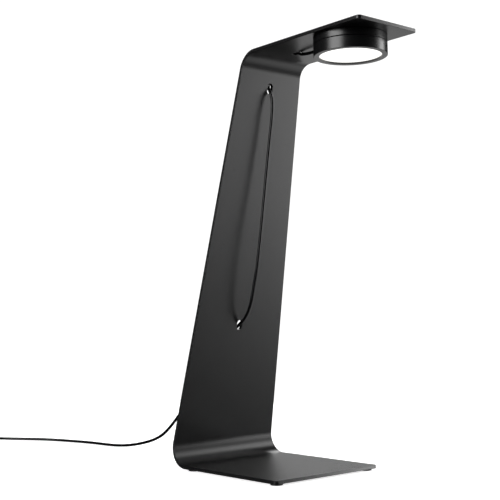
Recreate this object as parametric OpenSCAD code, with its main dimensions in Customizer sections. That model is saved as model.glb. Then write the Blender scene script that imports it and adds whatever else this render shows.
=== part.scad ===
// Free-standing display light: a bent sheet stand with a round lamp under its arm.
// X is the width, the front is -Y, and z = 0 is the surface that the feet stand on.

/* [Stand] */
// Height of the arm's top face
stand_h = 480; // [360:10:600]
// Depth from the arm's front edge to the back of the lower bend
reach = 287; // [260:1:320]
// Width of the base plate
base_w = 155; // [130:1:180]
// Depth of the base plate, lower bend included
base_d = 183; // [165:1:210]
// Width of the arm
arm_w = 90; // [86:1:110]
// Thickness of the steel sheet
sheet_t = 4; // [3:0.5:5]
// Forward lean of the column, in degrees
lean = 13; // [8:0.5:15]
// Inner radius of both bends
bend_r = 20; // [14:1:24]
// Radius of the sheet's outer corners
corner_r = 4; // [2:0.5:8]

/* [Cord slots] */
// Width of each slot
slot_w = 7.5; // [6:0.5:12]
// Length of each slot in the column
column_slot_l = 12; // [11.5:0.5:16]
// Length of the slot in the arm, which the cord crosses at a slant
arm_slot_l = 14; // [13:0.5:18]
// Height of the upper slot in the column
upper_slot_z = 444; // [443:0.5:444.5]
// Height of the lower slot in the column
lower_slot_z = 167; // [166:1:169]
// Distance from the arm's front edge to the middle of its slot
arm_slot_setback = 138.5; // [137:0.5:140]

/* [Feet] */
// Diameter of a foot
foot_d = 14; // [10:1:18]
// Height of a foot
foot_h = 2; // [1:0.5:4]
// Distance from the base's edges to a foot's middle
foot_inset = 9.5; // [8:0.5:15]

/* [Lamp] */
// Diameter of the lamp and of its mounting cup
head_d = 80; // [78:1:84]
// Distance from the arm's front edge to the lamp's axis
head_setback = 55.5; // [50:0.5:60]
// Width of the lamp's rim
rim_w = 6; // [4.5:0.5:6]
// Angle that unlocks the lamp from its cup, in degrees
twist = 20; // [15:1:30]

/* [Cord] */
// Diameter of the cord
cord_d = 3.8; // [3.4:0.1:4]
// Radius at the middle of the coil's turns
coil_mid_r = 20; // [19:0.2:22]

/* [Hidden] */

$fn = 64;
eps = 0.01;
gap = 0.1;
body_gap = 0.4;

black = [0.06, 0.06, 0.065];
rubber = [0.09, 0.09, 0.09];
steel = [0.72, 0.73, 0.75];
aluminium = [0.78, 0.79, 0.81];
brass = [0.8, 0.65, 0.3];
white = [0.95, 0.95, 0.93];
opal = [1, 0.99, 0.96];

cord_r = cord_d / 2;

// Stand: centres of the two bends in the side view, and the column between them
arm_z = stand_h - sheet_t;
arm_front_y = -reach / 2;
base_front_y = reach / 2 - base_d;
low_y = reach / 2 - bend_r - sheet_t;
low_z = foot_h + sheet_t + bend_r;
high_z = arm_z - bend_r;
high_y = low_y - (high_z - low_z) * tan(lean);
column_l = (high_z - low_z) / cos(lean);
// the bent sheet is a hair thinner round its bends, and each flat runs on a little into them
bend_thinning = 0.01;
bend_lap = 0.2;
taper_low_z = foot_h + sheet_t + 2;
taper_high_z = arm_z - 4;
foot_x = base_w / 2 - foot_inset;
foot_rear_y = low_y - foot_d / 2;
cut_l = 3 * sheet_t;

// Front face of the column at height z
function face_y(z) =
  low_y + bend_r * cos(lean) - (z - low_z - bend_r * sin(lean)) * tan(lean);

// Lamp: heights are counted down from the arm's underside
head_r = head_d / 2;
head_y = arm_front_y + head_setback;
cup_h = 7.8;
cup_top_t = 2;
cup_r = head_r - 3;
chamfer = 0.5;
mount_screw_ring = 32.5;
mount_screw_r = 1.5;
cord_z = -cup_top_t - cord_r - 0.05;
boot_neck_r = 2.7;
boot_flange_r = 3.4;
boot_end = head_r + 12;
cord_end = 29.4;
lead_r = 0.55;
lead_ring = 28.6;
lead_z = -3.7;

carrier_r = 27;
cover_bottom = 2.7;
carrier_top = 2.8;
spring_t = 0.3;
channel_floor = 5.4;
carrier_bottom = 7;
pin_ring = 20;
pin_r = 1.6;
pin_head_r = 3.2;
slot_half = 2;
channel_half = 3.8;
carrier_screw_ring = 14;

clamp_y = 32.8;
clamp_size = [15, 5, 1.3];
clamp_screw_x = 5.2;

housing_top = cup_h + body_gap;
housing_bottom = 21;
housing_wall = 3.5;
housing_r = head_r - housing_wall;
lip_t = 2;
lip_r = head_r - rim_w;
plate_top = 8.3;
plate_bottom = 11.5;
plate_r = housing_r - 0.2;
boss_ring = housing_r - 2.9;
boss_r = 3.1;
boss_angles = [30, 150, 270];
board_top = 12;
board_bottom = 13.2;
board_r = 29.5;
led_size = [2.8, 2.8, 0.8];
led_rings = [[8, 6], [16, 12], [24, 18]];
board_screw_ring = 12;
diffuser_top = 17;

// Cord route, from the strain relief on the lamp to the switch: through the arm,
// over the bend, through the column, down its front, back through the column and
// along the floor
floor_z = cord_r + 0.05;
run_route = [
  [0, -35.9, 472.05], [0, -26, 472.1], [0, -18, 472.7], [0, -11.5, 474], [0, -5.5, 477.2],
  [0, 0.5, 481.8], [1, 8, 485.4], [2.5, 18, 486.3], [4.5, 29, 484], [6.5, 40, 478.8],
  [8, 49, 470.3], [8, 53.5, 459.8], [5.5, 51.5, 451.6], [-0.2, 45.8, 445.3], [-1.5, 40.8, 438],
  [-1, 39, 428], [-0.3, 41, 408], [0, 47.6, 375], [0, 69, 255], [0, 78, 218],
  [0, 86.5, 191], [0, 96, 176.2], [0, 109, 166.8], [0, 126, 155], [0, 166, 117],
  [0, 210, 73], [0, 250, 37], [-1, 280, 18.5], [-5, 320, 7.5], [-11, 362, 2.5],
  [-19, 430, floor_z], [-40, 502, floor_z], [-72, 554, 2.1], [-90, 573.5, 3.1], [-102, 579.5, 6.8],
  [-115.9, 580, 7.5]
];
link_route = [[-176.1, 580, 7.5], [-182, 580, 7.3], [-190, 580, 5], [-197, 580, 3.2]];
tail_route = [
  [-225, 553, 6.3], [-225, 545, 5.9], [-224.6, 537, 4.2], [-222.6, 529, 3.2],
  [-219, 521.5, 4.6], [-214, 515.6, 9.4], [-208, 513, 13], [-204.1, 513, 13]
];

// The coil winds inwards along the floor and back out on top of itself
coil_at = [-200, 555];
coil_bottom = 0.6;
coil_layers = 2;
coil_layer_turns = 2.625;
coil_half_w = coil_layer_turns * cord_d / 2 + cord_r;
coil_r = coil_mid_r + coil_half_w;
coil_inner_r = coil_mid_r - coil_half_w;
coil_h = coil_layers * cord_d;
tie_t = 0.5;
tie_w = 8;
tie_room = 0.4;

// Switch: its own frame has the cord along X through z = switch_h / 2
switch_at = [-146, 580];
switch_l = 60;
switch_w = 20;
switch_h = 15;
switch_corner = 5;
switch_wall = 1.8;
switch_split = switch_h / 2;
switch_screw_x = 21;
rocker_l = 17;
rocker_w = 9;
rocker_z = 12.4;
rocker_tilt = 7;
rocker_pin_r = 1;

// Adapter: a plug-in supply lying on its side, its pins pointing to the front
adapter_at = [-168, 513];
adapter_l = 52;
adapter_w = 26;
adapter_h = 34;
adapter_corner = 4;
adapter_wall = 2;
plug_pin_r = 2;
plug_pin_l = 19;
plug_pin_pitch = 18.6;
adapter_cord_z = 13;
gland_l = 10;

// ---- Shared shapes ----

// A slot with round ends, cut along Y and long in Z
module slot_cut(slot_l) {
  straight = (slot_l - slot_w) / 2;
  for (side = [-1, 1]) {
    translate([0, cut_l / 2, side * straight]) rotate([90, 0, 0]) cylinder(h = cut_l, d = slot_w);
  }
  cube([slot_w, cut_l, slot_l - slot_w], center = true);
}

// A rectangle with round corners, centred
module round_rect(l, w, r) {
  square([l - 2 * r, w], center = true);
  square([l, w - 2 * r], center = true);
  for (x = [-1, 1], y = [-1, 1]) {
    translate([x * (l / 2 - r), y * (w / 2 - r)]) circle(r);
  }
}

// Places children under the arm, on the lamp's axis
module at_head() {
  translate([0, head_y, arm_z]) children();
}

// Children at each of the given angles on a ring
module on_ring(ring, angles) {
  for (a = angles) {
    rotate([0, 0, a]) translate([ring, 0, 0]) children();
  }
}

// A disc between two depths below the arm
module disc(r, top, bottom) {
  translate([0, 0, -bottom]) cylinder(h = bottom - top, r = r);
}

// A pan head screw that points up, its head's lower face at z = 0
module pan_screw(head_r, head_h, shank_r, shank_l) {
  cylinder(h = head_h, r = head_r);
  translate([0, 0, head_h - eps]) cylinder(h = shank_l + eps, r = shank_r);
}

// An arc of a flat ring with round ends, used for the bayonet's channels
module arc_channel(half, top, bottom) {
  translate([0, 0, -bottom]) {
    rotate_extrude(angle = twist) translate([pin_ring - half, 0]) square([2 * half, bottom - top]);
    on_ring(pin_ring, [0, twist]) cylinder(h = bottom - top, r = half);
  }
}

// ---- Cord ----

// Catmull-Rom point between b and c
function between(a, b, c, d, t) =
  0.5 * (2 * b + (c - a) * t + (2 * a - 5 * b + 4 * c - d) * t * t
    + (3 * b - a - 3 * c + d) * t * t * t);

function pick(p, i) = p[max(0, min(len(p) - 1, i))];

function smooth(p, steps) = [
  for (i = [0 : len(p) - 2], k = [0 : steps - 1])
    between(pick(p, i - 1), p[i], p[i + 1], pick(p, i + 2), k / steps),
  p[len(p) - 1]
];

function unit(v) = v / norm(v);

// A round tube along a line of points
module tube(line, r, sides = 8) {
  n = len(line);
  up = [0.7, 0.7, 0.1];
  points = [
    for (i = [0 : n - 1])
      let (
        along = unit(pick(line, i + 1) - pick(line, i - 1)),
        u = unit(cross(along, up)),
        v = cross(along, u)
      )
      for (k = [0 : sides - 1])
        line[i] + r * (cos(360 * k / sides) * u + sin(360 * k / sides) * v)
  ];
  skin = [
    for (i = [0 : n - 2], k = [0 : sides - 1])
      let (a = i * sides + k, b = i * sides + (k + 1) % sides)
      [a, a + sides, b + sides, b]
  ];
  first = [for (k = [0 : sides - 1]) k];
  last = [for (k = [sides - 1 : -1 : 0]) (n - 1) * sides + k];
  polyhedron(points = points, faces = concat(skin, [first], [last]), convexity = 10);
}

// ---- Stand ----

// A sector of a bend, seen from the side
module bend_section(from, to) {
  far = 2 * (bend_r + sheet_t);
  mid = (from + to) / 2;
  intersection() {
    difference() {
      circle(bend_r + sheet_t - bend_thinning);
      circle(bend_r + bend_thinning);
    }
    polygon([[0, 0], far * [cos(from), sin(from)], far * [cos(mid), sin(mid)],
      far * [cos(to), sin(to)]]);
  }
}

// The two bends and the column between them, seen from the side
module column_profile() {
  translate([low_y, low_z]) {
    bend_section(-90, lean);
    rotate(lean) translate([bend_r, -bend_lap]) square([sheet_t, column_l + 2 * bend_lap]);
  }
  translate([high_y, high_z]) bend_section(lean, 90);
}

// The column's taper, seen from the front
module front_outline() {
  polygon([
    [-base_w / 2, 0], [base_w / 2, 0], [base_w / 2, taper_low_z], [arm_w / 2, taper_high_z],
    [arm_w / 2, stand_h + 1], [-arm_w / 2, stand_h + 1], [-arm_w / 2, taper_high_z],
    [-base_w / 2, taper_low_z]
  ]);
}

// A flat plate from y = front to y = back, its two front corners rounded
module plate(w, front, back) {
  linear_extrude(height = sheet_t) {
    translate([-w / 2, front + corner_r]) square([w, back - front - corner_r]);
    translate([corner_r - w / 2, front]) square([w - 2 * corner_r, corner_r]);
    for (side = [-1, 1]) {
      translate([side * (w / 2 - corner_r), front + corner_r]) circle(corner_r);
    }
  }
}

module stand_sheet() {
  color(black) difference() {
    union() {
      translate([0, 0, foot_h]) plate(base_w, base_front_y, low_y + bend_lap);
      intersection() {
        rotate([90, 0, 90]) linear_extrude(height = base_w + 20, center = true) column_profile();
        translate([0, reach, 0]) rotate([90, 0, 0])
          linear_extrude(height = 2 * reach) front_outline();
      }
      translate([0, 0, arm_z]) plate(arm_w, arm_front_y, high_y + bend_lap);
    }
    for (z = [upper_slot_z, lower_slot_z]) {
      translate([0, face_y(z), z]) rotate([lean, 0, 0]) translate([0, sheet_t / 2, 0]) slot_cut(column_slot_l);
    }
    translate([0, arm_front_y + arm_slot_setback, arm_z + sheet_t / 2]) rotate([90, 0, 0]) slot_cut(arm_slot_l);
    at_head() on_ring(mount_screw_ring, [45 : 90 : 315]) {
      translate([0, 0, -1]) cylinder(h = sheet_t + 2, r = mount_screw_r + 0.05);
    }
  }
}

module foot(x, y) {
  color(rubber) translate([x, y, 0]) rotate_extrude() polygon([
    [0, 0], [foot_d / 2 - 0.6, 0], [foot_d / 2, 0.6], [foot_d / 2, foot_h], [0, foot_h]
  ]);
}

// ---- Mounting cup and the bayonet inside it ----

module mount_cup() {
  color(black) at_head() difference() {
    rotate_extrude() polygon([
      [0, 0], [head_r - chamfer, 0], [head_r, -chamfer], [head_r, chamfer - cup_h],
      [head_r - chamfer, -cup_h], [cup_r, -cup_h], [cup_r, -cup_top_t], [0, -cup_top_t]
    ]);
    on_ring(mount_screw_ring, [45 : 90 : 315]) {
      translate([0, 0, -cup_top_t - 1]) cylinder(h = cup_top_t + 2, r = mount_screw_r + 0.1);
    }
    translate([0, cup_r - 1, cord_z]) rotate([-90, 0, 0]) cylinder(h = 5, r = boot_neck_r);
    for (x = [-clamp_screw_x, clamp_screw_x]) {
      translate([x, clamp_y, -cup_top_t - 1]) cylinder(h = 2.3, r = 1);
    }
    on_ring(carrier_screw_ring, [90, 270]) {
      translate([0, 0, -cup_top_t - 1]) cylinder(h = 2.3, r = 1.25);
    }
  }
}

module mount_screws() {
  head_h = 2;
  color(steel) at_head() on_ring(mount_screw_ring, [45 : 90 : 315]) {
    translate([0, 0, -cup_top_t - head_h]) pan_screw(2.7, head_h, mount_screw_r, cup_top_t + 3.5);
  }
}

// The part of a contact spring that lies on the carrier, with room r_gap around it
module spring_shape(r_gap) {
  rotate([0, 0, -6]) rotate_extrude(angle = twist + 12) {
    translate([pin_ring - 2.4 - r_gap, 0]) square([4.8 + 2 * r_gap, spring_t]);
  }
  translate([pin_ring, -2 - r_gap, 0]) cube([lead_ring + 1.2 - pin_ring, 4 + 2 * r_gap, spring_t]);
}

module contact_carrier() {
  color(white) at_head() difference() {
    disc(carrier_r, carrier_top, carrier_bottom);
    for (side = [0, 180]) {
      rotate([0, 0, side]) {
        arc_channel(channel_half, carrier_top - 1, channel_floor);
        arc_channel(slot_half, channel_floor - 1, carrier_bottom + 1);
        on_ring(pin_ring, [twist]) disc(channel_half, channel_floor - 1, carrier_bottom + 1);
        translate([0, 0, -carrier_top - spring_t]) spring_shape(0.2);
      }
    }
    on_ring(carrier_screw_ring, [90, 270]) {
      disc(1.4, carrier_top - 1, carrier_bottom);
      disc(2.5, carrier_bottom - 1.4, carrier_bottom + 1);
    }
  }
}

module carrier_cover() {
  color(white) at_head() difference() {
    disc(carrier_r, cup_top_t, cover_bottom);
    on_ring(carrier_screw_ring, [90, 270]) disc(1.4, 0, carrier_bottom);
  }
}

module carrier_screws() {
  head_h = 1.2;
  color(steel) at_head() on_ring(carrier_screw_ring, [90, 270]) {
    translate([0, 0, -carrier_bottom + 0.1]) pan_screw(2.3, head_h, 1.2, 5);
  }
}

module contact_springs() {
  color(brass) at_head() for (side = [0, 180]) {
    rotate([0, 0, side]) translate([0, 0, -carrier_top - spring_t]) spring_shape(0);
  }
}

module cord_clamp() {
  color(steel) at_head() translate([0, clamp_y, cord_z - cord_r - clamp_size[2] - 0.05]) difference() {
    translate([-clamp_size[0] / 2, -clamp_size[1] / 2, 0]) cube(clamp_size);
    for (x = [-clamp_screw_x, clamp_screw_x]) {
      translate([x, 0, -1]) cylinder(h = clamp_size[2] + 2, r = 1.05);
    }
  }
}

module clamp_screws() {
  head_h = 0.7;
  head_z = cord_z - cord_r - clamp_size[2] - 0.05 - head_h;
  color(steel) at_head() for (x = [-clamp_screw_x, clamp_screw_x]) {
    translate([x, clamp_y, head_z]) pan_screw(1.9, head_h, 0.95, 6.2);
  }
}

// A rubber boot: a neck through the cup's wall, a flange and a taper along the cord
module strain_relief() {
  color(rubber) at_head() translate([0, 0, cord_z]) rotate([-90, 0, 0]) rotate_extrude() polygon([
    [cord_r + 0.05, cup_r + 0.3], [boot_neck_r - 0.05, cup_r + 0.3],
    [boot_neck_r - 0.05, head_r + 0.1], [boot_flange_r, head_r + 0.1],
    [boot_flange_r, head_r + 1.2], [boot_flange_r - 0.4, head_r + 1.6],
    [cord_r + 0.5, boot_end], [cord_r + 0.05, boot_end]
  ]);
}

module inner_cord() {
  color(black) at_head() translate([0, cord_end, cord_z]) rotate([-90, 0, 0])
    cylinder(h = boot_end - cord_end, r = cord_r);
}

// One insulated lead, from the cord's end round the carrier to a spring's tab
module lead() {
  stub_x = 1;
  start = acos(stub_x / lead_ring);
  translate([0, 0, lead_z]) {
    rotate([0, 0, 3]) rotate_extrude(angle = start - 3) translate([lead_ring, 0]) circle(lead_r, $fn = 24);
    translate([stub_x, lead_ring - 0.1, 0]) rotate([-90, 0, 0])
      cylinder(h = cord_end - lead_ring + 0.1, r = lead_r, $fn = 24);
  }
}

module lead_positive() {
  color("firebrick") at_head() lead();
}

module lead_negative() {
  color("dimgray") at_head() mirror([1, 0, 0]) lead();
}

// ---- Lamp ----

module lamp_housing() {
  color(black) at_head() difference() {
    union() {
      rotate_extrude() polygon([
        [housing_r, -housing_top], [head_r - chamfer, -housing_top],
        [head_r, -housing_top - chamfer], [head_r, chamfer - housing_bottom],
        [head_r - chamfer, -housing_bottom], [lip_r, -housing_bottom],
        [lip_r, lip_t - housing_bottom], [housing_r, lip_t - housing_bottom]
      ]);
      intersection() {
        on_ring(boss_ring, boss_angles) disc(boss_r, plate_bottom + 0.1, diffuser_top - 0.2);
        disc(head_r - 1, plate_bottom, diffuser_top);
      }
    }
    on_ring(boss_ring, boss_angles) disc(1.05, plate_bottom - 1, diffuser_top - 1);
  }
}

module back_plate() {
  color(aluminium) at_head() difference() {
    disc(plate_r, plate_top, plate_bottom);
    on_ring(boss_ring, boss_angles) {
      disc(1.4, plate_top - 1, plate_bottom + 1);
      disc(2.2, plate_top - 1, plate_top + 1.4);
    }
    on_ring(pin_ring, [0, 180]) disc(3.1, plate_top - 1, plate_bottom + 1);
    on_ring(board_screw_ring, [90, 210, 330]) disc(1, plate_top + 1, plate_bottom + 1);
  }
}

module back_plate_screws() {
  color(steel) at_head() on_ring(boss_ring, boss_angles) {
    disc(2.1, plate_top + 0.1, plate_top + 1.3);
    disc(1, plate_top + 1.2, diffuser_top - 2);
  }
}

module pin_insulators() {
  color(white) at_head() on_ring(pin_ring, [0, 180]) difference() {
    disc(3, plate_top, plate_bottom);
    disc(pin_r + 0.05, plate_top - 1, plate_bottom + 1);
  }
}

// Mushroom-headed pins: they carry the lamp and its current
module contact_pins() {
  color(brass) at_head() on_ring(pin_ring, [0, 180]) {
    disc(pin_head_r, 3.4, 5.1);
    disc(pin_r, 5, board_top);
  }
}

module thermal_pad() {
  color("lightsteelblue") at_head() difference() {
    disc(board_r - 0.5, plate_bottom + 0.05, board_top - 0.05);
    on_ring(pin_ring, [0, 180]) disc(pin_r + 0.6, plate_bottom - 1, board_top + 1);
    on_ring(board_screw_ring, [90, 210, 330]) disc(1.2, plate_bottom - 1, board_top + 1);
  }
}

module led_board() {
  color(white) at_head() difference() {
    disc(board_r, board_top, board_bottom);
    on_ring(board_screw_ring, [90, 210, 330]) disc(1.1, board_top - 1, board_bottom + 1);
  }
}

module board_screws() {
  color(steel) at_head() on_ring(board_screw_ring, [90, 210, 330]) {
    disc(1.8, board_bottom + 0.02, board_bottom + 0.9);
    disc(0.95, plate_top + 1.4, board_bottom + 0.1);
  }
}

module leds() {
  color("khaki") at_head() for (ring = led_rings) {
    on_ring(ring[0], [0 : 360 / ring[1] : 359]) {
      translate([0, 0, -board_bottom - led_size[2] / 2]) cube(led_size, center = true);
    }
  }
}

// A white cone between the board and the diffuser, cut away round the bosses
module reflector() {
  color(white) at_head() difference() {
    rotate_extrude() polygon([
      [board_r + 0.4, -board_top - 0.2], [board_r + 1.5, -board_top - 0.2],
      [housing_r - 0.3, 0.9 - diffuser_top], [housing_r - 0.3, 0.1 - diffuser_top],
      [lip_r, 0.1 - diffuser_top]
    ]);
    on_ring(boss_ring, boss_angles) disc(boss_r + 0.3, plate_bottom, diffuser_top + 1);
  }
}

module diffuser() {
  color(opal) at_head() disc(housing_r - 0.3, diffuser_top, housing_bottom - lip_t - 0.05);
}

// ---- Cord and what is on it ----

module cord_run() {
  color(black) tube(smooth(run_route, 2), cord_r);
}

module cord_link() {
  color(black) tube(link_route, cord_r);
}

module cord_coil() {
  color(black) translate([coil_at[0], coil_at[1], coil_bottom]) rotate_extrude() {
    translate([coil_inner_r, 0]) square([coil_r - coil_inner_r, coil_h]);
  }
}

module coil_tie() {
  across = coil_r - coil_inner_r + tie_room;
  color(rubber) translate([coil_at[0] + coil_inner_r - 2 * tie_t - tie_room, coil_at[1], 0]) {
    rotate([90, 0, 0]) linear_extrude(height = tie_w, center = true) difference() {
      square([across + 3 * tie_t, coil_h + coil_bottom + 2 * tie_t]);
      translate([tie_t, coil_bottom - gap]) square([across + tie_t + gap, coil_h + 2 * gap]);
    }
  }
}

module cord_tail() {
  color(black) tube(tail_route, cord_r);
}

// ---- Cord switch ----

module at_switch() {
  translate([switch_at[0], switch_at[1], 0]) children();
}

// One half of the switch's case, hollow between its floor and the split
module switch_shell(bottom, top, inner_bottom, inner_top) {
  difference() {
    translate([0, 0, bottom]) linear_extrude(height = top - bottom)
      round_rect(switch_l, switch_w, switch_corner);
    translate([0, 0, inner_bottom]) linear_extrude(height = inner_top - inner_bottom)
      round_rect(switch_l - 2 * switch_wall, switch_w - 2 * switch_wall, switch_corner - switch_wall);
    translate([-switch_l, 0, switch_split]) rotate([0, 90, 0])
      cylinder(h = 2 * switch_l, r = cord_r + 0.05);
  }
}

module switch_base() {
  color(black) at_switch() {
    difference() {
      switch_shell(0, switch_split - 0.05, switch_wall, switch_split + 1);
      for (x = [-switch_screw_x, switch_screw_x]) {
        translate([x, 5.5, -1]) cylinder(h = switch_h, r = 1.3);
        translate([x, 5.5, -1]) cylinder(h = 2, r = 2.4);
      }
    }
  }
}

module switch_cover() {
  color(black) at_switch() difference() {
    union() {
      switch_shell(switch_split + 0.05, switch_h, switch_split - 1, switch_h - switch_wall);
      for (x = [-switch_screw_x, switch_screw_x]) {
        translate([x, 5.5, switch_split + 0.05]) cylinder(h = switch_h - switch_split - 1, r = 2.4);
      }
      for (y = [-1, 1]) {
        translate([-2.4, y * (rocker_w / 2 + 1.4) - 0.9, switch_h - switch_wall - 3.6])
          cube([4.8, 1.8, 4]);
      }
    }
    translate([-rocker_l / 2 - 0.9, -rocker_w / 2 - 0.4, switch_h - switch_wall - 1])
      cube([rocker_l + 1.8, rocker_w + 0.8, switch_wall + 2]);
    for (x = [-switch_screw_x, switch_screw_x]) {
      translate([x, 5.5, switch_split - 1]) cylinder(h = 6, r = 1);
    }
    translate([0, -rocker_w / 2 - 2.3, rocker_z]) rotate([-90, 0, 0])
      cylinder(h = rocker_w + 4.6, r = rocker_pin_r);
  }
}

module switch_screws() {
  color(steel) at_switch() for (x = [-switch_screw_x, switch_screw_x]) {
    translate([x, 5.5, 0.1]) pan_screw(2.2, 0.8, 0.95, 10);
  }
}

// The cord's two ends in the case: one conductor runs straight through, and the other
// stops at the contacts
module switch_wires() {
  wire_r = 0.7;
  inside = switch_l / 2 - switch_wall - 0.3;
  contact_end = 9.05;
  color("firebrick") at_switch() {
    translate([-inside, -0.9, switch_split]) rotate([0, 90, 0])
      cylinder(h = 2 * inside, r = wire_r, $fn = 24);
    for (side = [-1, 1]) {
      translate([side * (inside + contact_end) / 2, 0.9, switch_split]) rotate([0, 90, 0])
        cylinder(h = inside - contact_end, r = wire_r, center = true, $fn = 24);
      translate([side * (inside + switch_l / 2) / 2, 0, switch_split]) rotate([0, 90, 0])
        cylinder(h = switch_l / 2 - inside, r = cord_r, center = true);
    }
  }
}

module switch_contacts() {
  color(brass) at_switch() for (x = [-7, 7]) {
    translate([x, 1.9, 5]) cube([4, 2, 4.6], center = true);
    translate([x, 3.4, 4]) cube([6, 3, 1], center = true);
  }
}

module rocker_pin() {
  color(steel) at_switch() translate([0, -rocker_w / 2 - 2.2, rocker_z]) rotate([-90, 0, 0])
    cylinder(h = rocker_w + 4.4, r = rocker_pin_r - 0.02);
}

// Tilts on its pin, here pressed down on its right end
module switch_rocker() {
  half = rocker_l / 2;
  color(black) at_switch() translate([0, 0, rocker_z]) rotate([0, rocker_tilt, 0]) difference() {
    rotate([90, 0, 0]) linear_extrude(height = rocker_w, center = true) difference() {
      polygon([
        [-half, 0.6], [-half + 0.2, 4], [-half + 1, 4.3], [0, 3.3], [half - 1, 4.3],
        [half - 0.2, 4], [half, 0.6], [2.6, -2.2], [-2.6, -2.2]
      ]);
      circle(rocker_pin_r + 0.04);
    }
  }
}

// ---- Plug-in adapter ----

module at_adapter() {
  translate([adapter_at[0], adapter_at[1], 0]) children();
}

// Half of the adapter's case: an outline seen along Y, extruded, and hollow inside
module adapter_shell(from, to, inner_from, inner_to) {
  translate([0, 0, adapter_h / 2]) rotate([-90, 0, 0]) difference() {
    translate([0, 0, from]) linear_extrude(height = to - from)
      round_rect(adapter_l, adapter_h, adapter_corner);
    translate([0, 0, inner_from]) linear_extrude(height = inner_to - inner_from)
      round_rect(adapter_l - 2 * adapter_wall, adapter_h - 2 * adapter_wall,
        adapter_corner - adapter_wall);
  }
}

// The hole for the cord's gland, in the end wall at the left
module gland_hole() {
  translate([-adapter_l / 2 - 1, 0, adapter_cord_z]) rotate([0, 90, 0])
    cylinder(h = adapter_wall + 2, r = cord_r + 1);
}

module adapter_base() {
  color(black) at_adapter() difference() {
    adapter_shell(-adapter_w / 2, -0.05, -adapter_w / 2 + adapter_wall, 1);
    gland_hole();
    for (side = [-1, 1]) {
      translate([side * plug_pin_pitch / 2, -adapter_w / 2 - 1, adapter_h / 2]) rotate([-90, 0, 0])
        cylinder(h = adapter_wall + 2, r = plug_pin_r + 0.05);
    }
    for (side = [-1, 1]) {
      translate([side * (adapter_l / 2 - 5), -adapter_w / 2 - 1, adapter_h / 2 + side * 11])
        rotate([-90, 0, 0]) {
          cylinder(h = adapter_wall + 2, r = 1.3);
          cylinder(h = 2, r = 2.4);
        }
    }
  }
}

module adapter_cover() {
  color(black) at_adapter() difference() {
    union() {
      adapter_shell(0.05, adapter_w / 2, -1, adapter_w / 2 - adapter_wall);
      for (side = [-1, 1]) {
        translate([side * (adapter_l / 2 - 5), 1, adapter_h / 2 + side * 11])
          rotate([-90, 0, 0]) cylinder(h = adapter_w / 2 - 2, r = 2.6);
      }
    }
    gland_hole();
    for (side = [-1, 1]) {
      translate([side * (adapter_l / 2 - 5), 0, adapter_h / 2 + side * 11])
        rotate([-90, 0, 0]) cylinder(h = 8, r = 1);
    }
  }
}

module adapter_screws() {
  color(steel) at_adapter() for (side = [-1, 1]) {
    translate([side * (adapter_l / 2 - 5), -adapter_w / 2 + 0.1, adapter_h / 2 + side * 11])
      rotate([-90, 0, 0]) pan_screw(2.2, 0.8, 0.95, adapter_w / 2 + 6);
  }
}

// A tapered rubber gland, its neck held by the two halves of the case
module adapter_gland() {
  neck = cord_r + 0.95;
  collar = cord_r + 2;
  color(rubber) at_adapter() translate([-adapter_l / 2, 0, adapter_cord_z]) rotate([0, 90, 0])
    rotate_extrude() polygon([
      [0, -gland_l], [cord_r + 0.4, -gland_l], [collar - 0.4, -1.2], [collar - 0.4, -0.1],
      [neck, -0.1], [neck, adapter_wall + 0.1], [collar, adapter_wall + 0.1],
      [collar, adapter_wall + 1.6], [0, adapter_wall + 1.6]
    ]);
}

module adapter_board() {
  color("seagreen") at_adapter() translate([-18, 3, 4]) cube([36, 1.6, 26]);
}

module adapter_transformer() {
  color("goldenrod") at_adapter() translate([-14, -7.5, 9]) cube([16, 10.4, 15]);
}

module adapter_capacitor() {
  color("slategray") at_adapter() translate([9.5, 2.9, 17]) rotate([90, 0, 0]) cylinder(h = 9.5, r = 4);
}

module plug_pins() {
  color(brass) at_adapter() for (side = [-1, 1]) {
    translate([side * plug_pin_pitch / 2, -adapter_w / 2 - plug_pin_l, adapter_h / 2])
      rotate([-90, 0, 0]) {
        translate([0, 0, 0.8]) cylinder(h = plug_pin_l + adapter_wall - 0.8, r = plug_pin_r);
        cylinder(h = 0.8 + eps, r1 = plug_pin_r - 0.8, r2 = plug_pin_r);
      }
  }
}

stand_sheet();
foot(-foot_x, base_front_y + foot_inset);  // foot_front_left
foot(foot_x, base_front_y + foot_inset);  // foot_front_right
foot(-foot_x, foot_rear_y);  // foot_rear_left
foot(foot_x, foot_rear_y);  // foot_rear_right
mount_cup();
mount_screws();
contact_carrier();
carrier_cover();
carrier_screws();
contact_springs();
cord_clamp();
clamp_screws();
strain_relief();
inner_cord();
lead_positive();
lead_negative();
lamp_housing();
back_plate();
back_plate_screws();
pin_insulators();
contact_pins();
thermal_pad();
led_board();
board_screws();
leds();
reflector();
diffuser();
cord_run();
switch_base();
switch_cover();
switch_screws();
switch_wires();
switch_contacts();
rocker_pin();
switch_rocker();
cord_link();
cord_coil();
coil_tie();
cord_tail();
adapter_base();
adapter_cover();
adapter_screws();
adapter_gland();
adapter_board();
adapter_transformer();
adapter_capacitor();
plug_pins();
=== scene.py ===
import math

import bpy
from mathutils import Matrix, Vector, geometry


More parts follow.
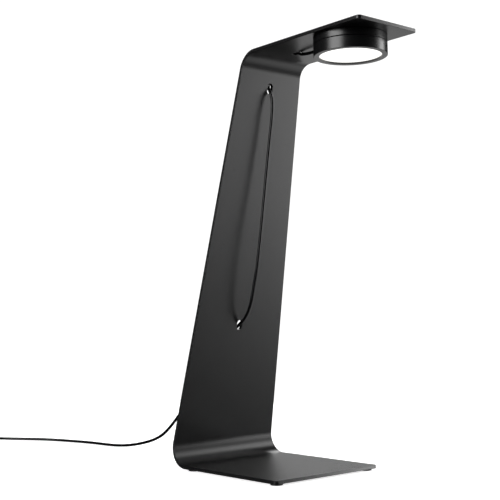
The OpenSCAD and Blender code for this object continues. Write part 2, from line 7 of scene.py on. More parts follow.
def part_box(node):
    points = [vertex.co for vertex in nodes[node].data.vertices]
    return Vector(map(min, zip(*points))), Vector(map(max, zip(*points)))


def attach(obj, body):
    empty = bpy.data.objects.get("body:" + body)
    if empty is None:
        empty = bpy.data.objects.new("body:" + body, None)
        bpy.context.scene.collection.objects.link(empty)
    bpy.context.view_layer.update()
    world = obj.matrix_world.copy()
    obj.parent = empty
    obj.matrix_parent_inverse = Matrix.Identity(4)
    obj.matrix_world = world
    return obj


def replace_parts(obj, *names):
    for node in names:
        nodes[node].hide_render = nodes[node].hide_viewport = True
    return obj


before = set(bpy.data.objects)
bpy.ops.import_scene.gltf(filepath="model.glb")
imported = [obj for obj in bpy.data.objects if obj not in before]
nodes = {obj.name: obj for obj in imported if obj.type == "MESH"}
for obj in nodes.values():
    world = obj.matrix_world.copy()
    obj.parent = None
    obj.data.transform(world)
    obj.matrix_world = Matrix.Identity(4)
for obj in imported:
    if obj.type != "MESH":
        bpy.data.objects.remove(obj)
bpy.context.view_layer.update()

TURN = 2 * math.pi
TINY = 1e-7


# ---- Camera ----

CAMERA_PLACE = Vector((-0.7784, -0.82555, 0.1777))
CAMERA_YAW = math.radians(40.515)
CAMERA_PITCH = math.radians(3.756)
CAMERA_ROLL = math.radians(-1.115)
CAMERA_LENS = 72.18
CAMERA_SENSOR = 36


def make_camera():
    level = math.cos(CAMERA_PITCH)
    ahead = Vector((math.sin(CAMERA_YAW) * level, math.cos(CAMERA_YAW) * level, math.sin(CAMERA_PITCH)))
    right = Vector((math.cos(CAMERA_YAW), -math.sin(CAMERA_YAW), 0))
    up = right.cross(ahead)
    tilted_right = math.cos(CAMERA_ROLL) * right + math.sin(CAMERA_ROLL) * up
    tilted_up = math.cos(CAMERA_ROLL) * up - math.sin(CAMERA_ROLL) * right
    data = bpy.data.cameras.new("camera")
    data.lens = CAMERA_LENS
    data.sensor_width = CAMERA_SENSOR
    data.clip_start = 0.01
    data.clip_end = 50
    camera = bpy.data.objects.new("camera", data)
    axes = Matrix((tilted_right, tilted_up, -ahead)).transposed()
    camera.matrix_world = Matrix.Translation(CAMERA_PLACE) @ axes.to_4x4()
    bpy.context.scene.collection.objects.link(camera)
    bpy.context.scene.camera = camera


make_camera()


# ---- Node materials ----

# Numbers of a Mix node's sockets when it mixes colours
MIX_SHARE, MIX_FIRST, MIX_SECOND, MIX_RESULT = 0, 6, 7, 2


class Finish:
    """A material with one Principled shader, and short calls for the nodes that vary it."""

    def __init__(self, name, colour, roughness, metallic=0.0, **sockets):
        self.material = bpy.data.materials.new(name)
        self.material.use_nodes = True
        self.tree = self.material.node_tree
        self.shader = self.tree.nodes["Principled BSDF"]
        self.set("Base Color", (*colour, 1))
        self.set("Roughness", roughness)
        self.set("Metallic", metallic)
        for socket, value in sockets.items():
            self.set(socket.replace("_", " "), value)
        self.place = self.node("ShaderNodeTexCoord").outputs["Object"]

    def node(self, kind, **values):
        made = self.tree.nodes.new(kind)
        for key, value in values.items():
            setattr(made, key, value)
        return made

    def link(self, source, target):
        self.tree.links.new(source, target)

    def set(self, socket, value):
        self.shader.inputs[socket].default_value = value

    def stretched(self, scale):
        mapping = self.node("ShaderNodeMapping")
        mapping.inputs["Scale"].default_value = scale
        self.link(self.place, mapping.inputs["Vector"])
        return mapping.outputs["Vector"]

    def noise(self, per_metre, detail=3.0, roughness=0.5, where=None):
        made = self.node("ShaderNodeTexNoise")
        made.inputs["Scale"].default_value = per_metre
        made.inputs["Detail"].default_value = detail
        made.inputs["Roughness"].default_value = roughness
        self.link(where or self.place, made.inputs["Vector"])
        return made.outputs["Fac"]

    def waves(self, per_metre, direction):
        made = self.node("ShaderNodeTexWave", bands_direction=direction)
        made.inputs["Scale"].default_value = per_metre
        self.link(self.place, made.inputs["Vector"])
        return made.outputs["Fac"]

    def span(self, value, low, high, start, end):
        """The value, taken from the range start to end into low to high."""
        made = self.node("ShaderNodeMapRange")
        for key, number in (("From Min", start), ("From Max", end), ("To Min", low), ("To Max", high)):
            made.inputs[key].default_value = number
        self.link(value, made.inputs["Value"])
        return made.outputs["Result"]

    def colours(self, value, first, second):
        made = self.node("ShaderNodeMix", data_type="RGBA")
        made.inputs[MIX_FIRST].default_value = (*first, 1)
        made.inputs[MIX_SECOND].default_value = (*second, 1)
        self.link(value, made.inputs[MIX_SHARE])
        self.link(made.outputs[MIX_RESULT], self.shader.inputs["Base Color"])

    def rough(self, value, low, high):
        self.link(self.span(value, low, high, 0.3, 0.7), self.shader.inputs["Roughness"])

    def bumps(self, *layers):
        """Each layer is a height and its depth in metres."""
        normal = None
        for height, depth in layers:
            made = self.node("ShaderNodeBump")
            made.inputs["Strength"].default_value = 1
            made.inputs["Distance"].default_value = depth
            self.link(height, made.inputs["Height"])
            if normal:
                self.link(normal, made.inputs["Normal"])
            normal = made.outputs["Normal"]
        self.link(normal, self.shader.inputs["Normal"])


def powder_coat(name, light, dark, roughness):
    """Fine satin powder coat: a soft orange peel with a fine grain on it."""
    finish = Finish(name, dark, roughness)
    peel = finish.noise(420, detail=2)
    grain = finish.noise(2600, detail=2)
    cloud = finish.noise(14, detail=4)
    finish.colours(finish.span(cloud, 0, 1, 0.35, 0.65), dark, light)
    finish.rough(grain, roughness - 0.05, roughness + 0.06)
    finish.bumps((peel, 0.00002), (grain, 0.000012))
    return finish.material


def moulded_plastic(name, light, dark, roughness, depth=0.00002, per_metre=1700):
    """Spark-textured moulding."""
    finish = Finish(name, dark, roughness)
    sparks = finish.noise(per_metre, detail=3, roughness=0.65)
    cloud = finish.noise(40, detail=3)
    finish.colours(finish.span(cloud, 0, 1, 0.35, 0.65), dark, light)
    finish.rough(sparks, roughness - 0.06, roughness + 0.08)
    finish.bumps((sparks, depth))
    return finish.material


def soft_rubber(name, light, dark):
    """Matte rubber with a little dust in its grain."""
    finish = Finish(name, dark, 0.62, Sheen_Weight=0.1, Sheen_Roughness=0.5)
    grain = finish.noise(1500, detail=4, roughness=0.6)
    dust = finish.noise(90, detail=5, roughness=0.7)
    finish.colours(finish.span(dust, 0, 1, 0.45, 0.8), dark, light)
    finish.rough(grain, 0.55, 0.72)
    finish.bumps((grain, 0.00002))
    return finish.material


def cable_jacket(name):
    """Smooth satin jacket, with the faint waves of the strands under it."""
    finish = Finish(name, (0.004, 0.004, 0.0045), 0.24, Specular_IOR_Level=0.35)
    grain = finish.noise(900, detail=3)
    wave = finish.noise(160, detail=2)
    finish.colours(finish.span(wave, 0, 1, 0.35, 0.7), (0.003, 0.003, 0.0035), (0.006, 0.006, 0.0065))
    finish.rough(grain, 0.2, 0.28)
    finish.bumps((wave, 0.00005), (grain, 0.000008))
    return finish.material


def metal(name, light, dark, roughness, per_metre=700, stretch=(1, 1, 1), depth=0.000004):
    """Turned, plated or rolled metal, by how its fine lines are stretched."""
    finish = Finish(name, dark, roughness, metallic=1.0)
    lines = finish.noise(per_metre, detail=4, roughness=0.6, where=finish.stretched(stretch))
    stain = finish.noise(120, detail=4)
    finish.colours(finish.span(stain, 0, 1, 0.3, 0.7), dark, light)
    finish.rough(lines, roughness - 0.06, roughness + 0.12)
    finish.bumps((lines, depth))
    return finish.material


def webbing(name, light, dark):
    """Woven strap: two fine waves at right angles."""
    finish = Finish(name, dark, 0.7, Sheen_Weight=0.2, Sheen_Roughness=0.4)
    warp = finish.waves(420, "Y")
    weft = finish.waves(300, "DIAGONAL")
    fuzz = finish.noise(1200, detail=3)
    finish.colours(finish.span(fuzz, 0, 1, 0.35, 0.7), dark, light)
    finish.rough(fuzz, 0.62, 0.8)
    finish.bumps((warp, 0.00012), (weft, 0.0001), (fuzz, 0.00002))
    return finish.material


def insulation(name, light, dark):
    """Smooth, slightly glossy plastic skin."""
    finish = Finish(name, dark, 0.3, Coat_Weight=0.15)
    grain = finish.noise(900, detail=2)
    finish.colours(grain, dark, light)
    finish.rough(grain, 0.26, 0.38)
    finish.bumps((grain, 0.000006))
    return finish.material


def circuit_board(name, resist, track, per_metre):
    """Solder resist with the copper tracks showing faintly under it."""
    finish = Finish(name, resist, 0.35)
    tracks = finish.node("ShaderNodeTexBrick", offset=0.35, squash=1.6)
    tracks.inputs["Scale"].default_value = per_metre
    tracks.inputs["Mortar Size"].default_value = 0.09
    tracks.inputs["Mortar Smooth"].default_value = 0.2
    finish.link(finish.place, tracks.inputs["Vector"])
    finish.colours(tracks.outputs["Fac"], resist, track)
    grain = finish.noise(1300, detail=2)
    finish.rough(grain, 0.3, 0.45)
    finish.bumps((tracks.outputs["Fac"], 0.00003), (grain, 0.000006))
    return finish.material


OPAL_GLOW = 1.5
OPAL_EDGE_GLOW = 1.15


def opal(name, centre_x, centre_y, radius):
    """Lit opal sheet, a little dimmer towards its edge, with a fine matte face."""
    finish = Finish(name, (0.95, 0.94, 0.92), 0.38)
    finish.set("Emission Color", (1, 0.985, 0.955, 1))
    offset = finish.node("ShaderNodeVectorMath", operation="DISTANCE")
    flat = finish.node("ShaderNodeVectorMath", operation="MULTIPLY")
    flat.inputs[1].default_value = (1, 1, 0)
    finish.link(finish.place, flat.inputs[0])
    finish.link(flat.outputs["Vector"], offset.inputs[0])
    offset.inputs[1].default_value = (centre_x, centre_y, 0)
    glow = finish.span(offset.outputs["Value"], OPAL_GLOW, OPAL_EDGE_GLOW, radius * 0.5, radius)
    finish.link(glow, finish.shader.inputs["Emission Strength"])
    grain = finish.noise(3000, detail=2)
    finish.rough(grain, 0.34, 0.46)
    finish.bumps((grain, 0.000005))
    return finish.material


BLACK_COAT = powder_coat("black_powder_coat", (0.008, 0.008, 0.0085), (0.005, 0.005, 0.0055), 0.31)
LAMP_COAT = powder_coat("lamp_powder_coat", (0.006, 0.006, 0.0065), (0.004, 0.004, 0.0045), 0.27)
JACKET = cable_jacket("cable_jacket")
RUBBER = soft_rubber("black_rubber", (0.022, 0.022, 0.0215), (0.012, 0.012, 0.012))
WEBBING = webbing("woven_strap", (0.03, 0.03, 0.031), (0.018, 0.018, 0.019))
CASE_PLASTIC = moulded_plastic("case_plastic", (0.024, 0.024, 0.025), (0.016, 0.016, 0.017), 0.5)
ROCKER_PLASTIC = moulded_plastic("rocker_plastic", (0.018, 0.018, 0.019), (0.012, 0.012, 0.013), 0.3, 0.000008)
WHITE_PLASTIC = moulded_plastic("white_moulding", (0.82, 0.82, 0.79), (0.74, 0.74, 0.71), 0.42, 0.00001)
ZINC = metal("zinc_plated_steel", (0.66, 0.67, 0.69), (0.5, 0.51, 0.54), 0.3)
ALUMINIUM = metal("turned_aluminium", (0.8, 0.81, 0.83), (0.68, 0.69, 0.72), 0.28, stretch=(1, 1, 9))
BRASS = metal("bare_brass", (0.8, 0.62, 0.3), (0.6, 0.43, 0.18), 0.26)
RED_WIRE = insulation("red_insulation", (0.6, 0.05, 0.04), (0.48, 0.03, 0.03))
GREY_WIRE = insulation("grey_insulation", (0.24, 0.24, 0.25), (0.17, 0.17, 0.18))
SILICONE = soft_rubber("silicone_pad", (0.6, 0.66, 0.75), (0.5, 0.56, 0.66))
WHITE_BOARD = circuit_board("white_circuit_board", (0.85, 0.85, 0.84), (0.74, 0.74, 0.72), 160)
GREEN_BOARD = circuit_board("green_circuit_board", (0.03, 0.2, 0.08), (0.06, 0.32, 0.13), 140)
PHOSPHOR = insulation("led_phosphor", (0.95, 0.82, 0.3), (0.85, 0.7, 0.2))
WINDING = metal("winding_tape", (0.72, 0.5, 0.1), (0.6, 0.4, 0.07), 0.4, stretch=(1, 6, 1))
SLEEVE = insulation("capacitor_sleeve", (0.12, 0.15, 0.2), (0.07, 0.09, 0.14))


# ---- Mesh helpers ----

CREASE = math.radians(40)
DELAUNAY_SCALE = 1000


def piece(name, points, faces, material, body, replaced, slot, normals=None):
    """A mesh piece that rides on a body. With no normals given, its shading comes from its larger faces."""
    mesh = bpy.data.meshes.new(name)
    mesh.from_pydata([tuple(p) for p in points], [], faces)
    mesh.update()
    mesh.polygons.foreach_set("use_smooth", [True] * len(mesh.polygons))
    made = bpy.data.objects.new(name, mesh)
    bpy.context.scene.collection.objects.link(made)
    mesh.materials.append(material)
    if normals:
        mesh.normals_split_custom_set_from_vertices([tuple(n) for n in normals])
    else:
        mesh.set_sharp_from_angle(angle=CREASE)
        shading = made.modifiers.new("shading", "WEIGHTED_NORMAL")
        shading.keep_sharp = True
    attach(made, body)
    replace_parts(made, *replaced)
    return made


def rounded(corners, steps=4):
    """An open outline of (a, b, radius) corners as (a, b) points, with each corner rounded to its radius."""
    made = []
    for i, (a, b, radius) in enumerate(corners):
        here = Vector((a, b))
        if radius <= 0 or i in (0, len(corners) - 1):
            made.append(here)
            continue
        back = (Vector(corners[i - 1][:2]) - here).normalized()
        on = (Vector(corners[i + 1][:2]) - here).normalized()
        half = back.angle(on) / 2
        reach = radius / math.tan(half)
        middle = here + (back + on).normalized() * radius / math.sin(half)
        start = here + back * reach - middle
        sweep = math.pi - 2 * half
        side = 1 if back.x * on.y - back.y * on.x < 0 else -1
        for k in range(steps + 1):
            turn = side * sweep * k / steps
            made.append(middle + Vector((
                start.x * math.cos(turn) - start.y * math.sin(turn),
                start.x * math.sin(turn) + start.y * math.cos(turn))))
    return made


def lathe_mesh(outline, place, axes, segments):
    """Points and faces of an (r, height) outline turned round an axis; a radius of 0 becomes one point."""
    points, rings, faces = [], [], []
    for r, h in outline:
        count = 1 if r < TINY else segments
        rings.append((len(points), count))
        for k in range(count):
            a = TURN * k / segments
            points.append(place + axes @ Vector((r * math.cos(a), r * math.sin(a), h)))
    for (first, n), (second, m) in zip(rings, rings[1:]):
        for k in range(segments):
            j = (k + 1) % segments
            if n == 1 and m > 1:
                faces.append((first, second + k, second + j))
            elif m == 1 and n > 1:
                faces.append((first + j, first + k, second))
            elif n > 1:
                faces.append((first + j, first + k, second + k, second + j))
    return points, faces


def joined(*parts):
    """Several (points, faces) meshes as one."""
    points, faces = [], []
    for more_points, more_faces in parts:
        start = len(points)
        points += more_points
        faces += [tuple(start + i for i in face) for face in more_faces]
    return points, faces


def inside(point, loop):
    """Whether a line from the point leaves the loop an odd number of times."""
    crossings = 0
    for a, b in zip(loop, loop[1:] + loop[:1]):
        if (a.y > point.y) != (b.y > point.y):
            crossings += point.x < a.x + (b.x - a.x) * (point.y - a.y) / (b.y - a.y)
    return crossings % 2 == 1


def filled(loops, extra=()):
    """Triangles between a flat outline and its holes, as numbers of the loops' points counted in order.
    Pairs of points in extra are joined by an edge too. It works in millimetres, which suits its tolerance."""
    flat, edges = [], list(extra)
    for loop in loops:
        first = len(flat)
        flat += loop
        edges += [(first + k, first + (k + 1) % len(loop)) for k in range(len(loop))]
    found = geometry.delaunay_2d_cdt([p * DELAUNAY_SCALE for p in flat], edges, [], 0, 1e-6)
    places, triangles, sources = found[0], found[2], found[3]
    made = []
    for triangle in triangles:
        middle = sum((places[i] for i in triangle), Vector((0, 0))) / 3 / DELAUNAY_SCALE
        if inside(middle, loops[0]) and not any(inside(middle, hole) for hole in loops[1:]):
            made.append(tuple(sources[i][0] for i in triangle))
    return made


def outward(loop):
    """Unit vectors away from the material at each point of a loop that has the material on its left."""
    made = []
    for i, here in enumerate(loop):
        back = (here - loop[i - 1]).normalized()
        on = (loop[(i + 1) % len(loop)] - here).normalized()
        mean = (back + on).normalized()
        made.append(Vector((mean.y, -mean.x)))
    return made


def without_repeats(loop):
    return [p for i, p in enumerate(loop) if (p - loop[i - 1]).length > TINY]


def round_rect(l, w, r, steps=8):
    """A rectangle with round corners, centred and counter-clockwise."""
    made = []
    for k, (side, end) in enumerate(((1, 1), (-1, 1), (-1, -1), (1, -1))):
        for i in range(steps + 1):
            a = math.pi / 2 * (k + i / steps)
            made.append(Vector((side * (l / 2 - r) + r * math.cos(a), end * (w / 2 - r) + r * math.sin(a))))
    return made


def circle(x, y, r, count=48):
    return [Vector((x + r * math.cos(TURN * k / count), y + r * math.sin(TURN * k / count))) for k in range(count)]


def arc_levels(inset, height, radius, steps=6):
    """(inset, height) levels that round an edge over, from a wall up to the face at this height."""
    return [(inset + radius * (1 - math.cos(math.pi / 2 * k / steps)),
             height - radius * (1 - math.sin(math.pi / 2 * k / steps))) for k in range(steps + 1)]


class Moulding:
    """A closed shell made of loops, in its own (a, b, height) axes that place() turns into scene points."""

    def __init__(self, place):
        self.place = place
        self.points, self.faces = [], []

    def loop(self, flat, height):
        start = len(self.points)
        self.points += [self.place(p.x, p.y, height) for p in flat]
        return [start + k for k in range(len(flat))]

    def skins(self, loops):
        for low, high in zip(loops, loops[1:]):
            for k in range(len(low)):
                j = (k + 1) % len(low)
                self.faces.append((low[k], low[j], high[j], high[k]))

    def cap(self, flats, loops, up):
        index = [i for loop in loops for i in loop]
        for a, b, c in filled(flats):
            self.faces.append((index[a], index[b], index[c]) if up else (index[c], index[b], index[a]))

    def shell(self, ring, levels, blind=(), through=()):
        """From the first level's face, which looks down, to the last level's, which looks up.
        A hole is its own ring and levels: a blind one ends in a floor, and a through one meets the first face."""
        flats = [ring(inset) for inset, height in levels]
        loops = [self.loop(flat, height) for flat, (inset, height) in zip(flats, levels)]
        self.skins(loops)
        top, bottom = [(flats[-1], loops[-1])], [(flats[0], loops[0])]
        for holes, open_end in ((blind, False), (through, True)):
            for hole, hole_levels in holes:
                hole_flats = [hole(grown) for grown, height in hole_levels]
                hole_loops = [self.loop(flat, height) for flat, (grown, height) in zip(hole_flats, hole_levels)]
                self.skins(hole_loops)
                top.append((hole_flats[0], hole_loops[0]))
                if open_end:
                    bottom.append((hole_flats[-1], hole_loops[-1]))
                else:
                    self.cap([hole_flats[-1]], [hole_loops[-1]], True)
        self.cap(*zip(*top), True)
        self.cap(*zip(*bottom), False)

    def ring_of(self, ring, levels):
        """A band: its levels go all the way round and meet themselves."""
        loops = [self.loop(ring(inset), height) for inset, height in levels]
        self.skins(loops + loops[:1])

    def made(self):
        return self.points, self.faces


def grooved(r_start, h_start, r_end, h_end, count, depth):
    """Corners of a taper with square grooves round it."""
    made = []
    pitch = 1 / (count + 0.5)
    for k in range(count):
        for share, cut in ((0.5, 0), (0.5, 1), (1, 1), (1, 0)):
            t = (k + share) * pitch
            made.append((r_start + (r_end - r_start) * t - cut * depth, h_start + (h_end - h_start) * t, depth * 0.3))
    return made


# ---- Cord ----

CORD_D = 0.0038
CORD_R = CORD_D / 2
GAP = 0.00005
FLOOR_Z = CORD_R + GAP

# From the strain relief on the lamp to the switch
RUN_ROUTE = [
    (0, -0.0359, 0.47205), (0, -0.026, 0.4721), (0, -0.018, 0.4727), (0, -0.0115, 0.474),
    (0, -0.0055, 0.4772), (0, 0.0005, 0.4818), (0.001, 0.008, 0.4854), (0.0025, 0.018, 0.4863),
    (0.0045, 0.029, 0.484), (0.0065, 0.04, 0.4788), (0.008, 0.049, 0.4703), (0.008, 0.0535, 0.4598),
    (0.0055, 0.0515, 0.4516), (-0.0002, 0.0458, 0.4453), (-0.0015, 0.0408, 0.438), (-0.001, 0.039, 0.428),
    (-0.0003, 0.041, 0.408), (0, 0.0476, 0.375), (0, 0.069, 0.255), (0, 0.078, 0.218),
    (0, 0.0865, 0.191), (0, 0.096, 0.1762), (0, 0.109, 0.1668), (0, 0.126, 0.155),
    (0, 0.166, 0.117), (0, 0.21, 0.073), (0, 0.25, 0.037), (-0.001, 0.28, 0.0185),
    (-0.005, 0.32, 0.0075), (-0.011, 0.362, 0.0025), (-0.019, 0.43, FLOOR_Z),
    (-0.04, 0.502, FLOOR_Z), (-0.072, 0.554, 0.0021), (-0.09, 0.5735, 0.0031),
    (-0.102, 0.5795, 0.0068), (-0.1159, 0.58, 0.0075),
]
# From the switch to the coil, and from the coil to the adapter
LINK_ROUTE = [(-0.1761, 0.58, 0.0075), (-0.182, 0.58, 0.0073), (-0.19, 0.58, 0.005)]
TAIL_ROUTE = [
    (-0.225, 0.545, 0.0059), (-0.2246, 0.537, 0.0042), (-0.2226, 0.529, 0.0032),
    (-0.219, 0.5215, 0.0046), (-0.214, 0.5156, 0.0094), (-0.208, 0.513, 0.013),
    (-0.2041, 0.513, 0.013),
]
COIL_PLACE = Vector((-0.2, 0.555, 0))
COIL_MID_R = 0.02
COIL_BOTTOM = 0.0006
COIL_LAYER_TURNS = 2.625
COIL_POINTS_PER_TURN = 24


def coil_route():
    """Inwards along the floor, then a layer up and back outwards on top of the first."""
    outer = COIL_MID_R + COIL_LAYER_TURNS * CORD_D / 2
    count = round(2 * COIL_LAYER_TURNS * COIL_POINTS_PER_TURN)
    route = []
    for i in range(count + 1):
        turn = i / COIL_POINTS_PER_TURN
        r = outer - CORD_D * min(turn, 2 * COIL_LAYER_TURNS - turn)
        climb = min(1, max(0, (turn - COIL_LAYER_TURNS) / 0.5 + 0.5))
        z = COIL_BOTTOM + CORD_R + CORD_D * climb * climb * (3 - 2 * climb)
        angle = TURN * (0.25 + turn)
        route.append(COIL_PLACE + Vector((r * math.cos(angle), r * math.sin(angle), z)))
    return route


def smooth(route, steps):
    """The route's points with more on a Catmull-Rom curve between them."""
    route = [Vector(p) for p in route]
    made = []
    for i in range(len(route) - 1):
        a, b, c, d = (route[max(0, min(len(route) - 1, i + k))] for k in (-1, 0, 1, 2))
        for k in range(steps):
            t = k / steps
            made.append(0.5 * (2 * b + (c - a) * t + (2 * a - 5 * b + 4 * c - d) * t ** 2
                               + (3 * b - a - 3 * c + d) * t ** 3))
    return made + [route[-1]]


def cord_curve(name, line):
    data = bpy.data.curves.new(name, "CURVE")
    data.dimensions = "3D"
    data.bevel_depth = CORD_R
    data.bevel_resolution = 6
    data.use_fill_caps = True
    spline = data.splines.new("POLY")
    spline.points.add(len(line) - 1)
    for point, place in zip(spline.points, line):
        point.co = (*place, 1)
    data.materials.append(JACKET)
    made = bpy.data.objects.new(name, data)
    bpy.context.scene.collection.objects.link(made)
    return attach(made, "stand")


run_line = smooth(RUN_ROUTE, 8)
run_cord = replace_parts(cord_curve("lamp_cord", run_line), "cord_run")
supply_line = smooth(LINK_ROUTE + coil_route() + TAIL_ROUTE, 5)
supply_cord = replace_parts(cord_curve("supply_cord", supply_line), "cord_link", "cord_coil", "cord_tail")


# ---- Stand: one bent sheet, its edges softened by the coat ----

SHEET_T = 0.004
BEND_R = 0.02
LEAN = math.radians(13)
CORNER_R = 0.004
EDGE_R = 0.0005
SLOT_W = 0.0075
COLUMN_SLOT_L = 0.012
ARM_SLOT_L = 0.014
COLUMN_SLOTS = (0.444, 0.167)
ARM_SLOT_SETBACK = 0.1385
MOUNT_SCREW_RING = 0.0325
MOUNT_HOLE_R = 0.00155
HEAD_SETBACK = 0.0555
ARM_HALF_W = 0.045
BASE_DEPTH = 0.183
TAPER_ABOVE_BASE = 0.002
TAPER_BELOW_ARM = 0.004
SLACK = 0.0001

sheet_low, sheet_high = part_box("stand_sheet")
base_top_z = sheet_low.z + SHEET_T
arm_z = sheet_high.z - SHEET_T
base_half_w = sheet_high.x
arm_front_y = sheet_low.y
rear_y = -arm_front_y
base_front_y = rear_y - BASE_DEPTH
low_bend = Vector((rear_y - BEND_R - SHEET_T, base_top_z + BEND_R))
high_bend_z = arm_z - BEND_R
high_bend = Vector((low_bend.x - (high_bend_z - low_bend.y) * math.tan(LEAN), high_bend_z))
taper_low_z = base_top_z + TAPER_ABOVE_BASE
taper_high_z = arm_z - TAPER_BELOW_ARM
head = Vector((0, arm_front_y + HEAD_SETBACK, arm_z))

mid_r = BEND_R + SHEET_T / 2
base_run = low_bend.x - base_front_y
low_run = mid_r * (math.pi / 2 + LEAN)
column_run = (high_bend.y - low_bend.y) / math.cos(LEAN)
high_run = mid_r * (math.pi / 2 - LEAN)
arm_run = high_bend.x - arm_front_y
column_start = base_run + low_run
arm_start = column_start + column_run + high_run
sheet_run = arm_start + arm_run


def along_sheet(s):
    """The middle of the sheet at distance s from the base's front edge.
    It is given as (y, z), with the angle of its outer normal."""
    if s <= base_run:
        return Vector((base_front_y + s, base_top_z - SHEET_T / 2)), -math.pi / 2
    if s <= column_start:
        angle = (s - base_run) / mid_r - math.pi / 2
        return low_bend + mid_r * Vector((math.cos(angle), math.sin(angle))), angle
    if s <= column_start + column_run:
        out = Vector((math.cos(LEAN), math.sin(LEAN)))
        return low_bend + mid_r * out + (s - column_start) * Vector((-out.y, out.x)), LEAN
    if s <= arm_start:
        angle = (s - column_start - column_run) / mid_r + LEAN
        return high_bend + mid_r * Vector((math.cos(angle), math.sin(angle))), angle
    return Vector((high_bend.x - (s - arm_start), arm_z + SHEET_T / 2)), math.pi / 2


def half_width(s):
    z = along_sheet(s)[0].y
    share = min(1, max(0, (z - taper_low_z) / (taper_high_z - taper_low_z)))
    return base_half_w + (ARM_HALF_W - base_half_w) * share


def on_sheet(x, s, height):
    """A point of the bent sheet from the flat one: height is counted from its middle, outwards."""
    middle, angle = along_sheet(s)
    return Vector((x, middle.x + height * math.cos(angle), middle.y + height * math.sin(angle)))


def bent_direction(across, along, out, s):
    """A direction on the flat sheet, turned with the bent one."""
    angle = along_sheet(s)[1]
    return Vector((
        across,
        out * math.cos(angle) - along * math.sin(angle),
        out * math.sin(angle) + along * math.cos(angle)))


def arc(x, s, radius, start, end, steps):
    return [Vector((x + radius * math.cos(start + (end - start) * k / steps),
                    s + radius * math.sin(start + (end - start) * k / steps))) for k in range(steps + 1)]


def stations():
    """Distances along the sheet where its outline needs a point."""
    marks = [base_run, column_start, column_start + column_run, arm_start]
    made = [CORNER_R + (base_run - CORNER_R) * k / 6 for k in range(1, 6)]
    for start, end, steps in ((marks[0], marks[1], 40), (marks[1], marks[2], 24), (marks[2], marks[3], 32)):
        made += [start + (end - start) * k / steps for k in range(steps)]
    made += [marks[3] + (arm_run - CORNER_R) * k / 6 for k in range(6)]
    return made


def sheet_outline():
    """The flat sheet's outline, counter-clockwise, and pairs of its points that face each other at a bend."""
    corner = base_half_w - CORNER_R
    right = arc(corner, CORNER_R, CORNER_R, -math.pi / 2, 0, 8)
    right += [Vector((half_width(s), s)) for s in stations()]
    right += arc(ARM_HALF_W - CORNER_R, sheet_run - CORNER_R, CORNER_R, 0, math.pi / 2, 8)
    left = [Vector((-p.x, p.y)) for p in reversed(right)]
    column_end = column_start + column_run
    across = [(i, 2 * len(right) - 1 - i) for i, p in enumerate(right)
              if base_run - SLACK < p.y < column_start + SLACK or column_end - SLACK < p.y < arm_start + SLACK]
    return right + left, across


def stadium(s, length):
    """A slot's outline on the flat sheet."""
    steps = 14
    straight = (length - SLOT_W) / 2
    return (arc(0, s + straight, SLOT_W / 2, 0, math.pi, steps)
            + arc(0, s - straight, SLOT_W / 2, math.pi, TURN, steps))


def slot_at_height(z):
    """How far along the sheet a slot in the column is whose middle on the inner face is at height z."""
    return column_start + (z - low_bend.y - BEND_R * math.sin(LEAN)) / math.cos(LEAN)


def sheet_holes():
    holes = [stadium(slot_at_height(z), COLUMN_SLOT_L) for z in COLUMN_SLOTS]
    holes.append(stadium(sheet_run - ARM_SLOT_SETBACK, ARM_SLOT_L))
    for k in range(4):
        a = TURN * (k + 0.5) / 4
        y = head.y + MOUNT_SCREW_RING * math.sin(a)
        holes.append(arc(MOUNT_SCREW_RING * math.cos(a), sheet_run - (y - arm_front_y), MOUNT_HOLE_R, 0, TURN, 24)[:-1])
    return [list(reversed(hole)) for hole in holes]


def make_sheet():
    """The flat outline and its holes get a rounded edge profile each, and every point is bent into place."""
    outline, across = sheet_outline()
    loops = [outline] + [without_repeats(hole) for hole in sheet_holes()]
    aways = [outward(loop) for loop in loops]
    edge_steps = 5
    profile = []
    for k in range(edge_steps + 1):
        turn = math.pi / 2 * k / edge_steps - math.pi / 2
        profile.append((EDGE_R * (1 - math.cos(turn)), -SHEET_T / 2 + EDGE_R * (1 + math.sin(turn)), turn))
    profile += [(inset, -height, -turn) for inset, height, turn in reversed(profile)]
    points, normals, faces, ring_starts = [], [], [], []
    for loop, aways_here in zip(loops, aways):
        starts = []
        for inset, height, turn in profile:
            starts.append(len(points))
            for flat, away in zip(loop, aways_here):
                at = flat - away * inset
                points.append(on_sheet(at.x, at.y, height))
                normals.append(bent_direction(
                    away.x * math.cos(turn), away.y * math.cos(turn), math.sin(turn), at.y))
        for low, high in zip(starts, starts[1:]):
            count = len(loop)
            for k in range(count):
                j = (k + 1) % count
                faces.append((low + k, high + k, high + j, low + j))
        ring_starts.append((starts[0], starts[-1], len(loop)))
    inner_index, outer_index = [], []
    for inner, outer, count in ring_starts:
        inner_index += [inner + k for k in range(count)]
        outer_index += [outer + k for k in range(count)]
    insets = [[flat - away * EDGE_R for flat, away in zip(loop, aways_here)] for loop, aways_here in zip(loops, aways)]
    for a, b, c in filled(insets, across):
        faces.append((inner_index[a], inner_index[b], inner_index[c]))
        faces.append((outer_index[c], outer_index[b], outer_index[a]))
    return piece("stand_body", points, faces, BLACK_COAT, "stand", ["stand_sheet"], "sheet_black", normals)


make_sheet()


# ---- Feet ----

def make_foot(name):
    """A moulded bumper with a softened rim, a moulding ring and a dished middle."""
    low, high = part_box(name)
    middle = Vector(((low.x + high.x) / 2, (low.y + high.y) / 2, low.z))
    r = (high.x - low.x) / 2
    h = high.z - low.z
    outline = rounded([
        (0, 0.0004, 0), (r * 0.4, 0.0004, 0.0003), (r * 0.5, 0, 0.0003), (r - 0.0002, 0, 0.0006),
        (r, h, 0.0001), (0, h, 0)])
    points, faces = lathe_mesh(list(reversed(outline)), middle, Matrix.Identity(3), 96)
    return piece(name + "_bumper", points, faces, RUBBER, "stand", [name], "foot_rubber")


for foot in ("foot_front_left", "foot_front_right", "foot_rear_left", "foot_rear_right"):
    make_foot(foot)


# ---- Lamp ----

